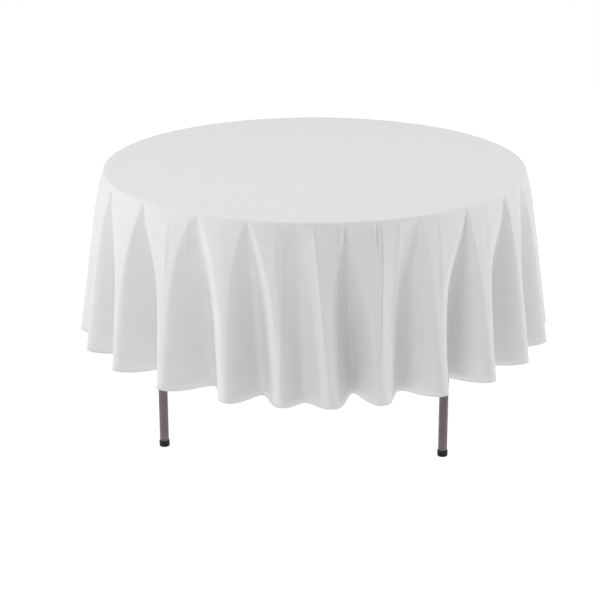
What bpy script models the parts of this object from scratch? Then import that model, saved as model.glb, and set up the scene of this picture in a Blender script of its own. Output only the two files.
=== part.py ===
"""A round folding table under a round tablecloth that hangs in cone-shaped folds.

Metres, +Z up. The origin is on the floor under the middle of the table top. The legs
stand symmetrically about the X and Y planes; the front leg frame is on the -Y side.
"""

import math

import bmesh
import bpy
import numpy as np
from mathutils import Matrix, Vector

# ---------------------------------------------------------------- driving dimensions
TABLE_HEIGHT = 0.737
TOP_RADIUS = 0.6096
RIM_DEPTH = 0.045
RIM_WIDTH = 0.022
RIM_ROUND = 0.005
PLATE_DEPTH = 0.022
SKIN = 0.003
VENT_RADIUS = 0.005

LEG_X = 0.395
LEG_RADIUS = 0.0127
LEG_WALL = 0.0014
FRONT_PIVOT_DROP = 0.041
REAR_PIVOT_DROP = 0.071
CROSSBAR_HEIGHT = 0.361
CROSSBAR_RADIUS = 0.011

RAIL_X = 0.420
RAIL_THICKNESS = 0.002
RAIL_FLANGE = 0.028
RAIL_MARGIN = 0.020
PIVOT_OVERHANG = 0.010
PLUG_HEAD = 0.0022
PLUG_LIP = 0.0016

FOOT_HEIGHT = 0.017
FOOT_WALL = 0.0016
FOOT_SOLE = 0.005

LINK_WIDTH = 0.020
LINK_THICKNESS = 0.003
BRACE_X = 0.030
TAB_RISE = 0.025
ANCHOR_INSET = 0.020
BRACKET_FLANGE = 0.034
BRACKET_LENGTH = 0.060

PIN_RADIUS = 0.003
PIN_HEAD_RADIUS = 0.0055
PIN_HEAD_HEIGHT = 0.002
SCREW_RADIUS = 0.0020
SCREW_LENGTH = 0.012
SCREW_HEAD_RADIUS = 0.0042
SCREW_HEAD_HEIGHT = 0.0024
RAIL_SCREW_PLACES = (-0.330, -0.120, 0.120, 0.330)

CLOTH_RADIUS = 1.10
CLOTH_THICKNESS = 0.0012
CLOTH_REST = 0.0008
CLOTH_ROUND = 0.007
CLOTH_COLUMNS_PER_FOLD = 4
RIDGE_FLARE = 0.086
VALLEY_FLARE = 0.0
FOLD_AZIMUTHS = (
    -171, -154, -138, -121, -105, -92, -81, -70, -55, -40, -25, -9,
    5, 19, 36, 51, 64, 79, 94, 108, 122, 135, 148, 161, 175,
)

# ---------------------------------------------------------------- sides of round pieces
TOP_SEGMENTS = 72
TUBE_SEGMENTS = 24
PIN_SEGMENTS = 12
SCREW_SEGMENTS = 10

# ---------------------------------------------------------------- clearances
TOUCH = 0.0003
RUNNING = 0.0004
RIM_CLEARANCE = 0.00086

# ---------------------------------------------------------------- derived places
PLATE_UNDERSIDE = TABLE_HEIGHT - PLATE_DEPTH
PIVOT_END_X = RAIL_X + RAIL_THICKNESS + PIVOT_OVERHANG
PLUG_END_X = PIVOT_END_X + TOUCH + PLUG_HEAD
# The legs stand as near the rim as the corners of the pivot plugs allow: 0.380 m here.
RIM_REACH = TOP_RADIUS - RIM_WIDTH - RIM_CLEARANCE
LEG_Y = round(math.sqrt(RIM_REACH**2 - PLUG_END_X**2) - LEG_RADIUS - PLUG_LIP, 4)
RAIL_HALF_LENGTH = LEG_Y + RAIL_MARGIN
FRAMES = (
    ("front", -1, TABLE_HEIGHT - FRONT_PIVOT_DROP, BRACE_X),
    ("rear", 1, TABLE_HEIGHT - REAR_PIVOT_DROP, -BRACE_X),
)
SIDES = (("left", -1), ("right", 1))


# ---------------------------------------------------------------- scene and materials
def clear_scene():
    for item in list(bpy.data.objects):
        bpy.data.objects.remove(item, do_unlink=True)
    for block in list(bpy.data.collections):
        bpy.data.collections.remove(block)


def new_collection(name):
    made = bpy.data.collections.new(name)
    bpy.context.scene.collection.children.link(made)
    return made


clear_scene()
PARTS = new_collection("tablecloth_on_folding_table")
CUTTERS = new_collection("cutters")


def principled(name, colour, roughness, metallic):
    made = bpy.data.materials.new(name)
    made.use_nodes = True
    shader = made.node_tree.nodes["Principled BSDF"]
    shader.inputs["Base Color"].default_value = (*colour, 1.0)
    shader.inputs["Roughness"].default_value = roughness
    shader.inputs["Metallic"].default_value = metallic
    return made


CLOTH_WHITE = ("cloth_white", (0.86, 0.86, 0.87), 0.75, 0.0)
MOULDED_TOP = ("moulded_top", (0.72, 0.71, 0.68), 0.55, 0.0)
LEG_PAINT = ("leg_paint", (0.23, 0.19, 0.18), 0.45, 0.3)
BLACK_PLASTIC = ("black_plastic", (0.02, 0.02, 0.022), 0.5, 0.0)
ZINC_STEEL = ("zinc_steel", (0.62, 0.62, 0.60), 0.35, 1.0)


# ---------------------------------------------------------------- shape helpers
def add_mesh(name, bm, finish, collection=PARTS):
    """Makes an object from a bmesh; finish is (material, colour, roughness, metallic)."""
    mesh = bpy.data.meshes.new(name)
    bm.normal_update()
    bm.to_mesh(mesh)
    bm.free()
    made = bpy.data.objects.new(name, mesh)
    collection.objects.link(made)
    if finish is not None:
        mesh.materials.append(principled(f"{name}_{finish[0]}", *finish[1:]))
    return made


def add_cutter(name, bm):
    cutter = add_mesh(name, bm, None, CUTTERS)
    cutter.hide_render = True
    cutter.display_type = "WIRE"
    return cutter


def move_origin(item, point):
    """Puts an object's origin on its joint axis and leaves its shape in place."""
    item.data.transform(Matrix.Translation(-Vector(point)))
    item.location = point


def cut(item, cutter):
    """Subtracts a cutter from a piece."""
    step = item.modifiers.new(f"cut_{cutter.name}", "BOOLEAN")
    step.operation = "DIFFERENCE"
    step.solver = "EXACT"
    step.object = cutter


def join_with(item, other):
    step = item.modifiers.new(f"join_{other.name}", "BOOLEAN")
    step.operation = "UNION"
    step.solver = "EXACT"
    step.object = other


def smooth(item, angle=40.0):
    item.data.shade_smooth()
    item.data.set_sharp_from_angle(angle=math.radians(angle))


def box_bm(low, high):
    """A box between two corners."""
    bm = bmesh.new()
    bmesh.ops.create_cube(bm, size=1.0)
    low_point = Vector(low)
    high_point = Vector(high)
    size = high_point - low_point
    bmesh.ops.scale(bm, vec=size, verts=bm.verts)
    bmesh.ops.translate(bm, vec=(low_point + high_point) / 2, verts=bm.verts)
    return bm


def rod_bm(start, end, radius, segments):
    """A solid cylinder from one point to another."""
    first = Vector(start)
    along = Vector(end) - first
    turn = Vector((0, 0, 1)).rotation_difference(along.normalized()).to_matrix().to_4x4()
    place = Matrix.Translation(first + along / 2) @ turn
    bm = bmesh.new()
    bmesh.ops.create_cone(
        bm, cap_ends=True, segments=segments, radius1=radius, radius2=radius,
        depth=along.length, matrix=place,
    )
    return bm


def turned(name, profile, finish, segments, closed=True):
    """A profile of (radius, height) points turned about Z by a Screw modifier.

    The points run down the outer side and back up the inner side; a closed profile
    makes a ring, and one that starts and ends on the axis makes a solid.
    """
    bm = bmesh.new()
    verts = [bm.verts.new((r, 0.0, z)) for r, z in profile]
    for first, second in zip(verts, verts[1:]):
        bm.edges.new((first, second))
    if closed:
        bm.edges.new((verts[-1], verts[0]))
    made = add_mesh(name, bm, finish)
    step = made.modifiers.new("turn", "SCREW")
    step.steps = segments
    step.render_steps = segments
    step.use_merge_vertices = True
    step.merge_threshold = 0.00001
    step.use_smooth_shade = True
    return made


def turned_in_place(name, profile, finish, segments, place, closed=True):
    """A turned piece whose axis is then laid where the matrix puts it."""
    made = turned(name, profile, finish, segments, closed)
    made.matrix_world = place
    return made


def pipe_profile(radius, wall, low, high):
    return [(radius, high), (radius, low), (radius - wall, low), (radius - wall, high)]


def arc(centre, radius, start, end, steps):
    """Points on an arc in the profile plane, angles in degrees."""
    angles = np.radians(np.linspace(start, end, steps + 1))
    return [(centre[0] + radius * math.cos(a), centre[1] + radius * math.sin(a)) for a in angles]


def flat_plate(name, outline, holes, thickness, finish, place):
    """A flat outline with round holes, extruded, laid where the matrix puts it.

    The flats of each hole's polygon touch its true circle, so a shaft clears them.
    """
    curve = bpy.data.curves.new(name, "CURVE")
    curve.dimensions = "2D"
    curve.fill_mode = "BOTH"
    curve.extrude = thickness / 2
    rings = [outline]
    for centre, radius in holes:
        sides = TUBE_SEGMENTS if radius > LEG_RADIUS else PIN_SEGMENTS
        corner_radius = radius / math.cos(math.pi / sides)
        rings.append(arc(centre, corner_radius, 0, 360 - 360 / sides, sides - 1))
    for ring in rings:
        spline = curve.splines.new("POLY")
        spline.points.add(len(ring) - 1)
        for point, (x, y) in zip(spline.points, ring):
            point.co = (x, y, 0.0, 1.0)
        spline.use_cyclic_u = True
    source = bpy.data.objects.new(f"{name}_outline", curve)
    CUTTERS.objects.link(source)
    bpy.context.view_layer.update()
    evaluated = source.evaluated_get(bpy.context.evaluated_depsgraph_get())
    mesh = bpy.data.meshes.new_from_object(evaluated)
    bpy.data.objects.remove(source)
    bm = bmesh.new()
    bm.from_mesh(mesh)
    bmesh.ops.remove_doubles(bm, verts=bm.verts, dist=0.00001)
    bmesh.ops.recalc_face_normals(bm, faces=bm.faces)
    bmesh.ops.transform(bm, matrix=place, verts=bm.verts)
    made = add_mesh(name, bm, finish)
    bpy.data.meshes.remove(mesh)
    return made


def stadium(length, width, steps=6):
    """A bar outline with round ends, whose end centres are at x 0 and x length."""
    right = arc((length, 0.0), width / 2, -90, 90, steps)
    left = arc((0.0, 0.0), width / 2, 90, 270, steps)
    return right + left


def plane_at_x(x, y, z, angle):
    """Lays a flat plate upright in the plane x = const: its own x axis points along
    `angle`, measured in that plane from +Y towards +Z."""
    along = Vector((0.0, math.cos(angle), math.sin(angle)))
    normal = Vector((1.0, 0.0, 0.0))
    across = normal.cross(along)
    turn = Matrix((along, across, normal)).transposed().to_4x4()
    return Matrix.Translation((x, y, z)) @ turn


# ---------------------------------------------------------------- the table top
def screw_places():
    """Where each fastener enters the underside: (name, x, y, height of its bearing face)."""
    flange_face = PLATE_UNDERSIDE - TOUCH - RAIL_THICKNESS
    places = []
    for side, sign in SIDES:
        x = sign * (RAIL_X - RAIL_FLANGE / 2)
        for number, y in enumerate(RAIL_SCREW_PLACES, 1):
            places.append((f"rail_screw_{side}_{number}", x, y, flange_face))
    for end, sign, _, brace_x in FRAMES:
        y = sign * anchor_y(end)
        x = brace_x + bracket_side() * (BRACKET_FLANGE / 2 + bracket_offset())
        for number, step in enumerate((-1, 1), 1):
            y_screw = y + step * BRACKET_LENGTH / 3
            places.append((f"bracket_screw_{end}_{number}", x, y_screw, flange_face))
    return places


def table_top():
    """A blow-moulded top: a thin skin round a hollow, with a deeper rim."""
    r = TOP_RADIUS
    inner = r - RIM_WIDTH
    base = TABLE_HEIGHT - RIM_DEPTH
    under = PLATE_UNDERSIDE
    outside = [(0.0, TABLE_HEIGHT)]
    outside += arc((r - RIM_ROUND, TABLE_HEIGHT - RIM_ROUND), RIM_ROUND, 90, 0, 4)
    outside += arc((r - RIM_ROUND, base + RIM_ROUND), RIM_ROUND, 0, -90, 3)
    outside += [(inner, base), (inner, under), (0.0, under)]
    top = turned("table_top", outside, MOULDED_TOP, TOP_SEGMENTS, closed=False)
    hollow = [
        (0.0, TABLE_HEIGHT - SKIN), (r - SKIN, TABLE_HEIGHT - SKIN), (r - SKIN, base + SKIN),
        (inner + SKIN, base + SKIN), (inner + SKIN, under + SKIN), (0.0, under + SKIN),
    ]
    cutter = turned("top_hollow", hollow, None, TOP_SEGMENTS, closed=False)
    PARTS.objects.unlink(cutter)
    CUTTERS.objects.link(cutter)
    cutter.hide_render = True
    cutter.display_type = "WIRE"
    cut(top, cutter)
    vent = rod_bm((0, 0, under - SKIN), (0, 0, under + 2 * SKIN), VENT_RADIUS, PIN_SEGMENTS)
    cut(top, add_cutter("top_vent", vent))
    for name, x, y, _ in screw_places():
        hole = rod_bm(
            (x, y, under - SKIN), (x, y, under + 2 * SKIN), SCREW_RADIUS + TOUCH, SCREW_SEGMENTS
        )
        cut(top, add_cutter(f"hole_{name}", hole))
    return top


# ---------------------------------------------------------------- rails and screws
def side_rail(side, sign):
    """A steel angle under the top: its web holds the ends of both pivot tubes."""
    top = PLATE_UNDERSIDE - TOUCH
    low = {
        end: height - RAIL_MARGIN - TOUCH for end, _, height, _ in FRAMES
    }
    half = RAIL_HALF_LENGTH
    ear = LEG_Y - RAIL_MARGIN - 0.010
    waist = top - 0.034
    outline = [
        (-half, top), (-half, low["front"]), (-ear, low["front"]), (-ear + 0.02, waist),
        (ear - 0.03, waist), (ear, low["rear"]), (half, low["rear"]), (half, top),
    ]
    holes = [
        ((y_sign * LEG_Y, height), LEG_RADIUS + RUNNING) for _, y_sign, height, _ in FRAMES
    ]
    middle = sign * (RAIL_X + RAIL_THICKNESS / 2)
    rail = flat_plate(
        f"side_rail_{side}", outline, holes, RAIL_THICKNESS, LEG_PAINT,
        plane_at_x(middle, 0.0, 0.0, 0.0),
    )
    inner_x = sign * (RAIL_X - RAIL_FLANGE)
    outer_x = sign * (RAIL_X + RAIL_THICKNESS)
    flange = box_bm(
        (min(inner_x, outer_x), -half, top - RAIL_THICKNESS), (max(inner_x, outer_x), half, top)
    )
    join_with(rail, add_cutter(f"flange_{side}", flange))
    for name, x, y, _ in screw_places():
        if name.startswith(f"rail_screw_{side}"):
            hole = rod_bm((x, y, top - 0.01), (x, y, top + 0.01), SCREW_RADIUS + TOUCH, SCREW_SEGMENTS)
            cut(rail, add_cutter(f"flange_hole_{name}", hole))
    return rail


def screw(name, x, y, bearing):
    """A pan-head screw that hangs head down; the shank goes up into the top."""
    face = bearing - TOUCH
    head = SCREW_HEAD_HEIGHT
    profile = [(0.0, SCREW_LENGTH), (SCREW_RADIUS, SCREW_LENGTH - 0.001), (SCREW_RADIUS, 0.0)]
    profile += [(SCREW_HEAD_RADIUS, 0.0), (SCREW_HEAD_RADIUS, -head * 0.5)]
    profile += [(SCREW_HEAD_RADIUS * 0.7, -head), (0.0, -head)]
    return turned_in_place(
        name, profile, ZINC_STEEL, SCREW_SEGMENTS, Matrix.Translation((x, y, face)),
        closed=False,
    )


# ---------------------------------------------------------------- folding leg frames
def pivot_tube(end, sign, height):
    """The cross tube at the head of a leg frame; it turns in the holes of both rails."""
    place = Matrix.Translation((0, sign * LEG_Y, height)) @ Matrix.Rotation(math.pi / 2, 4, "Y")
    return turned_in_place(
        f"{end}_pivot_tube", pipe_profile(LEG_RADIUS, LEG_WALL, -PIVOT_END_X, PIVOT_END_X),
        LEG_PAINT, TUBE_SEGMENTS, place,
    )


def leg(end, side, x_sign, y_sign, height):
    """An upright tube, coped at its head to the pivot tube."""
    low = FOOT_SOLE + TOUCH
    place = Matrix.Translation((x_sign * LEG_X, y_sign * LEG_Y, 0.0))
    tube = turned_in_place(
        f"{end}_leg_{side}", pipe_profile(LEG_RADIUS, LEG_WALL, low, height),
        LEG_PAINT, TUBE_SEGMENTS, place,
    )
    saddle = rod_bm(
        (x_sign * (LEG_X - 0.05), y_sign * LEG_Y, height),
        (x_sign * (LEG_X + 0.05), y_sign * LEG_Y, height), LEG_RADIUS + TOUCH, TUBE_SEGMENTS,
    )
    cut(tube, add_cutter(f"saddle_{end}_{side}", saddle))
    return tube


def crossbar(end, sign):
    """The tube between the two legs of a frame, coped to both."""
    y = sign * LEG_Y
    place = Matrix.Translation((0, y, CROSSBAR_HEIGHT)) @ Matrix.Rotation(math.pi / 2, 4, "Y")
    bar = turned_in_place(
        f"{end}_crossbar", pipe_profile(CROSSBAR_RADIUS, LEG_WALL, -LEG_X, LEG_X),
        LEG_PAINT, TUBE_SEGMENTS, place,
    )
    for side, x_sign in SIDES:
        saddle = rod_bm(
            (x_sign * LEG_X, y, CROSSBAR_HEIGHT - 0.05), (x_sign * LEG_X, y, CROSSBAR_HEIGHT + 0.05),
            LEG_RADIUS + TOUCH, TUBE_SEGMENTS,
        )
        cut(bar, add_cutter(f"bar_saddle_{end}_{side}", saddle))
    return bar


def foot_cap(end, side, x_sign, y_sign):
    """A plastic cup with a rolled lip that the end of the leg is pushed into."""
    bore = LEG_RADIUS + TOUCH
    outer = bore + FOOT_WALL
    edge = 0.0012
    profile = [(0.0, 0.0), (outer - edge, 0.0), (outer, edge), (outer, FOOT_HEIGHT - edge)]
    profile += [(outer - edge / 2, FOOT_HEIGHT), (bore, FOOT_HEIGHT), (bore, FOOT_SOLE)]
    profile += [(0.0, FOOT_SOLE)]
    profile.reverse()
    return turned_in_place(
        f"{end}_foot_cap_{side}", profile, BLACK_PLASTIC, TUBE_SEGMENTS,
        Matrix.Translation((x_sign * LEG_X, y_sign * LEG_Y, 0.0)), closed=False,
    )


def tube_plug(end, side, x_sign, y_sign, height):
    """A push-on cap that closes a pivot tube outside the rail and keeps it there."""
    face = x_sign * (PIVOT_END_X + TOUCH)
    place = Matrix.Translation((face, y_sign * LEG_Y, height))
    place = place @ Matrix.Rotation(x_sign * math.pi / 2, 4, "Y")
    plug = LEG_RADIUS - LEG_WALL - TOUCH
    outer = LEG_RADIUS + PLUG_LIP
    profile = [(0.0, PLUG_HEAD), (outer - 0.001, PLUG_HEAD), (outer, PLUG_HEAD - 0.001)]
    profile += [(outer, 0.0)]
    profile += [(plug, 0.0), (plug, -0.012), (0.0, -0.012)]
    return turned_in_place(
        f"{end}_pivot_plug_{side}", profile, BLACK_PLASTIC, TUBE_SEGMENTS, place, closed=False
    )


# ---------------------------------------------------------------- folding braces
def brace_places(end, height):
    """Brace geometry of one frame, in its own plane: the origin is the pivot tube, the
    first axis points inwards and the second up. Returns the leg pin's drop, the anchor's
    reach, the lower and upper link lengths and the rest angle of the straight brace.

    Straight at rest, both links fold flat along the leg: lower + upper = the straight
    distance, and upper - lower = anchor reach - leg pin drop.
    """
    drop = height - CROSSBAR_HEIGHT - TAB_RISE
    reach = drop - ANCHOR_INSET
    straight = math.hypot(drop, reach)
    lower = (straight - (reach - drop)) / 2
    upper = (straight + (reach - drop)) / 2
    angle = math.atan2(drop, reach)
    return drop, reach, lower, upper, angle


def anchor_y(end):
    """Distance from the middle of the table to a brace's upper anchor."""
    height = {name: z for name, _, z, _ in FRAMES}[end]
    reach = brace_places(end, height)[1]
    return LEG_Y - reach


def bracket_side():
    """The anchor bracket stands on the +X side of its upper link."""
    return 1.0


def bracket_offset():
    """Distance from the brace's middle plane to the near face of the bracket's ear."""
    return TOUCH + LINK_THICKNESS + TOUCH


def bar_link(name, start, end, angle, x_low, finish):
    """A flat bar with round ends and a clearance hole at each end pivot."""
    length = (Vector(end) - Vector(start)).length
    hole = PIN_RADIUS + TOUCH
    place = plane_at_x(x_low + LINK_THICKNESS / 2, start[0], start[1], angle)
    return flat_plate(
        name, stadium(length, LINK_WIDTH), [((0.0, 0.0), hole), ((length, 0.0), hole)],
        LINK_THICKNESS, finish, place,
    )


def pin(name, y, z, x_head, x_end):
    """A rivet along X: its head's bearing face is at x_head, its shank ends at x_end."""
    towards = 1.0 if x_end > x_head else -1.0
    length = abs(x_end - x_head)
    profile = [(0.0, length), (PIN_RADIUS, length), (PIN_RADIUS, 0.0), (PIN_HEAD_RADIUS, 0.0)]
    profile += [(PIN_HEAD_RADIUS, -PIN_HEAD_HEIGHT * 0.4)]
    profile += [(PIN_HEAD_RADIUS * 0.6, -PIN_HEAD_HEIGHT), (0.0, -PIN_HEAD_HEIGHT)]
    place = Matrix.Translation((x_head, y, z)) @ Matrix.Rotation(towards * math.pi / 2, 4, "Y")
    return turned_in_place(name, profile, ZINC_STEEL, PIN_SEGMENTS, place, closed=False)


def anchor_bracket(end, sign, height, brace_x):
    """An angle bracket under the top whose ear carries the upper link's pivot."""
    y = sign * anchor_y(end)
    top = PLATE_UNDERSIDE - TOUCH
    ear_x = brace_x + bracket_offset()
    half = LINK_WIDTH / 2 + 0.002
    outline = [(-half, top - height)] + arc((0.0, 0.0), half, 180, 360, 8)
    outline += [(half, top - height)]
    ear = flat_plate(
        f"{end}_anchor_bracket", outline, [((0.0, 0.0), PIN_RADIUS + TOUCH)],
        LINK_THICKNESS, ZINC_STEEL,
        plane_at_x(ear_x + LINK_THICKNESS / 2, y, height, 0.0),
    )
    flange = box_bm(
        (ear_x, y - BRACKET_LENGTH / 2, top - RAIL_THICKNESS),
        (ear_x + BRACKET_FLANGE, y + BRACKET_LENGTH / 2, top),
    )
    join_with(ear, add_cutter(f"bracket_flange_{end}", flange))
    for name, x, y_screw, _ in screw_places():
        if name.startswith(f"bracket_screw_{end}"):
            hole = rod_bm(
                (x, y_screw, top - 0.01), (x, y_screw, top + 0.01), SCREW_RADIUS + TOUCH, SCREW_SEGMENTS
            )
            cut(ear, add_cutter(f"bracket_hole_{name}", hole))
    return ear


def brace_tab(end, sign, height, brace_x):
    """A plate welded upright on the crossbar; the lower link turns on it."""
    drop = brace_places(end, height)[0]
    y = sign * LEG_Y
    z = height - drop
    seat = CROSSBAR_RADIUS + TOUCH
    half = LINK_WIDTH / 2
    outline = arc((0.0, 0.0), half, 0, 180, 8) + [(-half, -TAB_RISE), (half, -TAB_RISE)]
    x_mid = brace_x - 2 * TOUCH - LINK_THICKNESS * 1.5
    tab = flat_plate(
        f"{end}_brace_tab", outline, [((0.0, 0.0), PIN_RADIUS + TOUCH)], LINK_THICKNESS,
        LEG_PAINT, plane_at_x(x_mid, y, z, 0.0),
    )
    bar = rod_bm(
        (x_mid - 0.05, y, CROSSBAR_HEIGHT), (x_mid + 0.05, y, CROSSBAR_HEIGHT), seat,
        TUBE_SEGMENTS,
    )
    cut(tab, add_cutter(f"tab_seat_{end}", bar))
    return tab


def brace(end, sign, height, brace_x):
    """Two flat links in planes side by side, with half of the elbow rivet on each."""
    drop, reach, lower, upper, angle = brace_places(end, height)
    leg_pin = (sign * LEG_Y, height - drop)
    anchor = (sign * (LEG_Y - reach), height)
    inward = -sign
    elbow = (leg_pin[0] + inward * lower * math.cos(angle), leg_pin[1] + lower * math.sin(angle))
    direction = angle if inward > 0 else math.pi - angle
    low_plane = brace_x - TOUCH - LINK_THICKNESS
    high_plane = brace_x + TOUCH
    lower_link = bar_link(f"{end}_lower_link", leg_pin, elbow, direction, low_plane, ZINC_STEEL)
    upper_link = bar_link(
        f"{end}_upper_link", anchor, elbow, direction + math.pi, high_plane, ZINC_STEEL
    )
    move_origin(lower_link, (0.0, *leg_pin))
    move_origin(upper_link, (0.0, *anchor))
    ear_far = brace_x + bracket_offset() + LINK_THICKNESS + TOUCH
    pin(f"{end}_anchor_pin", anchor[0], anchor[1], ear_far, high_plane + TOUCH)
    tab_far = low_plane - TOUCH - LINK_THICKNESS - TOUCH
    pin(f"{end}_leg_pin", leg_pin[0], leg_pin[1], tab_far, low_plane + LINK_THICKNESS - TOUCH)
    pin(
        f"{end}_elbow_rivet_upper", elbow[0], elbow[1],
        high_plane + LINK_THICKNESS + TOUCH, high_plane + TOUCH,
    )
    pin(
        f"{end}_elbow_rivet_lower", elbow[0], elbow[1],
        low_plane - TOUCH, low_plane + LINK_THICKNESS - TOUCH,
    )


# ---------------------------------------------------------------- the tablecloth
def fold_columns(samples):
    """Azimuths of the mesh columns and their fold phase: 0 on a ridge, pi in a valley."""
    ridges = [math.radians(a) for a in FOLD_AZIMUTHS]
    ridges.append(ridges[0] + 2 * math.pi)
    share = np.arange(samples) / samples
    azimuths = [a + (b - a) * share for a, b in zip(ridges, ridges[1:])]
    phases = [2 * math.pi * share for _ in ridges[1:]]
    return np.concatenate(azimuths), np.concatenate(phases)


def tablecloth():
    """A round cloth: flat on the top, bent over its rim, then hanging in cone folds.

    The hem hangs one slanted drop, cloth radius - top radius, below the rim. Each fold
    opens from nothing at the rim to its full depth at the hem. The valleys hang straight
    down, so that the cloth lifts off the top without touching it.
    """
    azimuth, phase = fold_columns(CLOTH_COLUMNS_PER_FOLD)
    ridge_share = (1 + np.cos(phase)) / 2
    outer = CLOTH_REST + CLOTH_THICKNESS
    edge = TOP_RADIUS + outer
    top = TABLE_HEIGHT + outer
    slant = CLOTH_RADIUS - TOP_RADIUS
    rim_share = RIM_DEPTH / slant
    bend = (edge - CLOTH_ROUND, top - CLOTH_ROUND)
    rings = [(r, z, 0.0) for r, z in arc(bend, CLOTH_ROUND, 90, 0, 3)]
    for share in (rim_share, 0.32, 0.55, 0.78, 1.0):
        rings.append((edge, top - CLOTH_ROUND, share))
    flare = VALLEY_FLARE + (RIDGE_FLARE - VALLEY_FLARE) * ridge_share
    bm = bmesh.new()
    centre = bm.verts.new((0.0, 0.0, top))
    previous = None
    for radius, height, share in rings:
        out = radius + flare * share
        drop = np.sqrt((slant * share) ** 2 - (flare * share) ** 2)
        z = height - drop
        x_ring = out * np.cos(azimuth)
        y_ring = out * np.sin(azimuth)
        ring = [bm.verts.new(point) for point in zip(x_ring, y_ring, z)]
        count = len(ring)
        for i in range(count):
            j = (i + 1) % count
            if previous is None:
                bm.faces.new((centre, ring[i], ring[j]))
            else:
                bm.faces.new((previous[i], ring[i], ring[j], previous[j]))
        previous = ring
    cloth = add_mesh("tablecloth", bm, CLOTH_WHITE)
    step = cloth.modifiers.new("thickness", "SOLIDIFY")
    step.thickness = CLOTH_THICKNESS
    step.offset = -1.0
    smooth(cloth)
    return cloth


# ---------------------------------------------------------------- the whole object
def build():
    table_top()
    for side, x_sign in SIDES:
        side_rail(side, x_sign)
    for name, x, y, bearing in screw_places():
        screw(name, x, y, bearing)
    for end, y_sign, height, brace_x in FRAMES:
        pivot_tube(end, y_sign, height)
        crossbar(end, y_sign)
        for side, x_sign in SIDES:
            leg(end, side, x_sign, y_sign, height)
            foot_cap(end, side, x_sign, y_sign)
            tube_plug(end, side, x_sign, y_sign, height)
        anchor_bracket(end, y_sign, height, brace_x)
        brace_tab(end, y_sign, height, brace_x)
        brace(end, y_sign, height, brace_x)
    tablecloth()


build()
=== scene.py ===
"""The finished look of a round tablecloth on a round folding table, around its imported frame.

The frame is loaded first, so that sizes and places come from it. Every new piece is a
numpy surface: a function of two parameters, or a profile carried along a path.
"""

import math

import bpy
import numpy as np
from bpy.props import FloatProperty, FloatVectorProperty, PointerProperty
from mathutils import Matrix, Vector


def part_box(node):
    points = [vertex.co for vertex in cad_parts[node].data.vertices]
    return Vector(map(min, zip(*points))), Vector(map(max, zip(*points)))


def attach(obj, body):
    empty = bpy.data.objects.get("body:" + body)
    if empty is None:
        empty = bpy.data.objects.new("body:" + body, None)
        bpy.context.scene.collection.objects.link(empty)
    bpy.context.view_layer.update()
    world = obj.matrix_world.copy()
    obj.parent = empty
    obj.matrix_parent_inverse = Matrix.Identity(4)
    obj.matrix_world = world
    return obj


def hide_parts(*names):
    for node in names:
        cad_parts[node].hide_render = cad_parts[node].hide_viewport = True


bl_info = {
    "name": "Tablecloth on a round folding table",
    "version": (1, 0, 0),
    "blender": (4, 5, 0),
    "location": "3D View > Sidebar > Tablecloth",
    "description": "Drapes the cloth and gives the folding table its finishes",
    "category": "Object",
}

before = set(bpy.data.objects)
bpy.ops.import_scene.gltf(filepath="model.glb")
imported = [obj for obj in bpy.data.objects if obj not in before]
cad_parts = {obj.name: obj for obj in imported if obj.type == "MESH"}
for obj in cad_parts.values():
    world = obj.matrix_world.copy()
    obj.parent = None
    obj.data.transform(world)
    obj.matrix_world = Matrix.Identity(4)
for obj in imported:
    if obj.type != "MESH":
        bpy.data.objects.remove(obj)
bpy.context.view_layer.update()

TABLE_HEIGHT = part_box("table_top")[1].z
TABLE_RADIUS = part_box("table_top")[1].x
RIM_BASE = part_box("table_top")[0].z
ENDS = ("front", "rear")
SIDES = ("left", "right")

# The folds, as azimuths in degrees, one fold to a place in each list. A fold runs from
# its own ridge to the next one, and its dart opens from an apex on the rim into a valley.
HEM_RIDGES = (
    -170, -154, -138.5, -121.5, -104.5, -92, -81, -70, -55, -40.5, -25, -9.5, 5,
    19, 36, 51, 64, 79, 94, 108, 122, 135, 148, 161, 175,
)
HEM_VALLEYS = (
    -162, -147, -131, -113, -98.5, -87, -74.5, -62, -47, -32.5, -17.5, -2, 12,
    27.5, 43, 57.5, 71, 87, 101, 115, 128, 142, 154, 168, 182,
)
RIM_APEXES = (
    -165, -151.5, -133.5, -115, -101.5, -89.5, -77.5, -58.5, -43.5, -27, -15, -1, 14,
    29, 44, 58, 73, 87, 102, 116, 129, 141, 155, 168, 181,
)
RIM_RIDGES = (
    -172, -158.5, -142, -124, -108, -95, -85.5, -71, -56.5, -40, -24.5, -9.5, 6,
    21.5, 36.5, 51, 65.5, 80, 94.5, 109, 122.5, 135, 148, 161.5, 174.5,
)
RIDGE_LIFT = (
    0, 2, -2, 1, 0, -5, 4, 0, 3, 4, -1, 1, -2, 3, 0, 2, -3, 1, 3, -2, 2, 0, -3, 2, 1,
)  # millimetres that each ridge stands out past the common flare at the hem

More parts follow.
